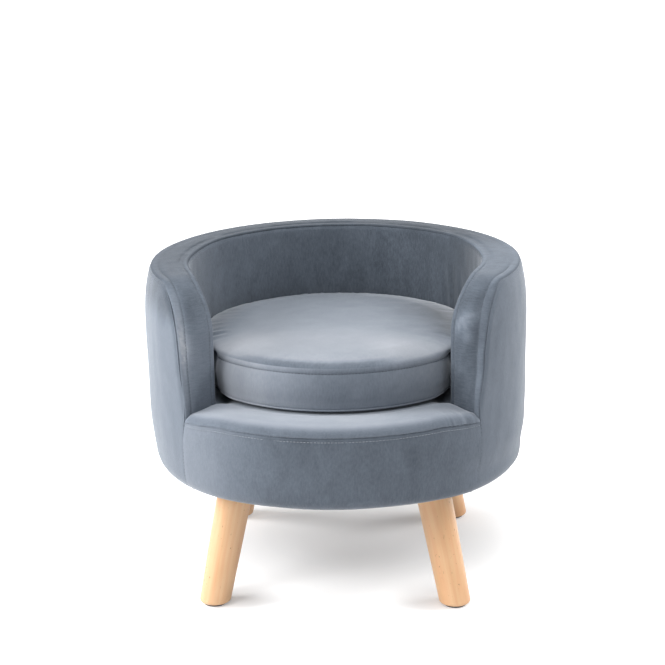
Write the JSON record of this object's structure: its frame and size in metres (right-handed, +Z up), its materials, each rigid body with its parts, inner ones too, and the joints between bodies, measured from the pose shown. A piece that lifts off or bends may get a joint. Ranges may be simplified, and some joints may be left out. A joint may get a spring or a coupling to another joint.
{
  "type": "pet sofa bed",
  "caption": "Round velvet tub bed for a small pet: padded C-shaped wall with an open front, loose round cushion on a padded deck, upholstered drum on splayed tapered wooden legs.",
  "frame": {"origin": "on the floor, at the centre of the object's bounding box, which is the drum's axis", "axes": "+Z up along the drum's axis; the open mouth faces -Y; +X to the right as seen from the front"},
  "size_m": [0.5, 0.5, 0.422],
  "materials": {
    "velvet": "matte",
    "foam": "matte",
    "wadding": "matte",
    "plywood": "matte",
    "softwood": "matte",
    "hardboard": "matte",
    "leg_wood": "satin",
    "dust_cloth": "matte",
    "zinc_steel": "satin",
    "glide_plastic": "satin",
    "zip_tape": "matte",
    "zip_coil": "satin",
    "zip_metal": "satin"
  },
  "bodies": {
    "bed": {"back_outside_cover": "velvet", "rim_cover": "velvet", "back_inside_cover": "velvet", "deck_cover": "velvet", "front_cover": "velvet", "back_outside_pad": "foam", "back_inside_pad": "foam", "rim_pad": "foam", "front_pad": "foam", "seat_pad": "foam", "base_board": "plywood", "seat_board": "plywood", "arm_profile_left": "plywood", "arm_profile_right": "plywood", "top_rail": "plywood", "drum_blocks": "softwood", "wall_posts": "softwood", "outer_skin": "hardboard", "inner_skin": "hardboard", "front_skin": "hardboard", "leg_front_left": "leg_wood", "leg_front_right": "leg_wood", "leg_rear_left": "leg_wood", "leg_rear_right": "leg_wood", "dust_cover": "dust_cloth", "frame_screws": "zinc_steel", "staples": "zinc_steel", "hanger_bolts": "zinc_steel", "tee_nuts": "zinc_steel", "glide_nails": "zinc_steel", "foot_glides": "glide_plastic"},
    "cushion": {"cushion_core": "foam", "cushion_wadding": "wadding", "cushion_top_cover": "velvet", "cushion_band": "velvet", "cushion_bottom_cover": "velvet", "zip_tapes": "zip_tape", "zip_chain": "zip_coil", "zip_stops": "zip_coil"},
    "zip_slider": {"zip_slider": "zip_metal"},
    "zip_pull": {"zip_pull": "zip_metal"}
  },
  "joints": [
    {"name": "cushion_lift", "type": "slide", "parent": "bed", "child": "cushion", "axis": [0, 0, 1], "range_m": [0, 0.2]},
    {"name": "zip_run", "type": "hinge", "parent": "cushion", "child": "zip_slider", "pos_m": [0, 0, 0.29765], "axis": [0, 0, 1], "range_deg": [0, 110]},
    {"name": "zip_pull_swing", "type": "hinge", "parent": "zip_slider", "child": "zip_pull", "pos_m": [0.15273, 0.10694, 0.29765], "axis": [0, 0, 1], "range_deg": [0, 170]}
  ]
}
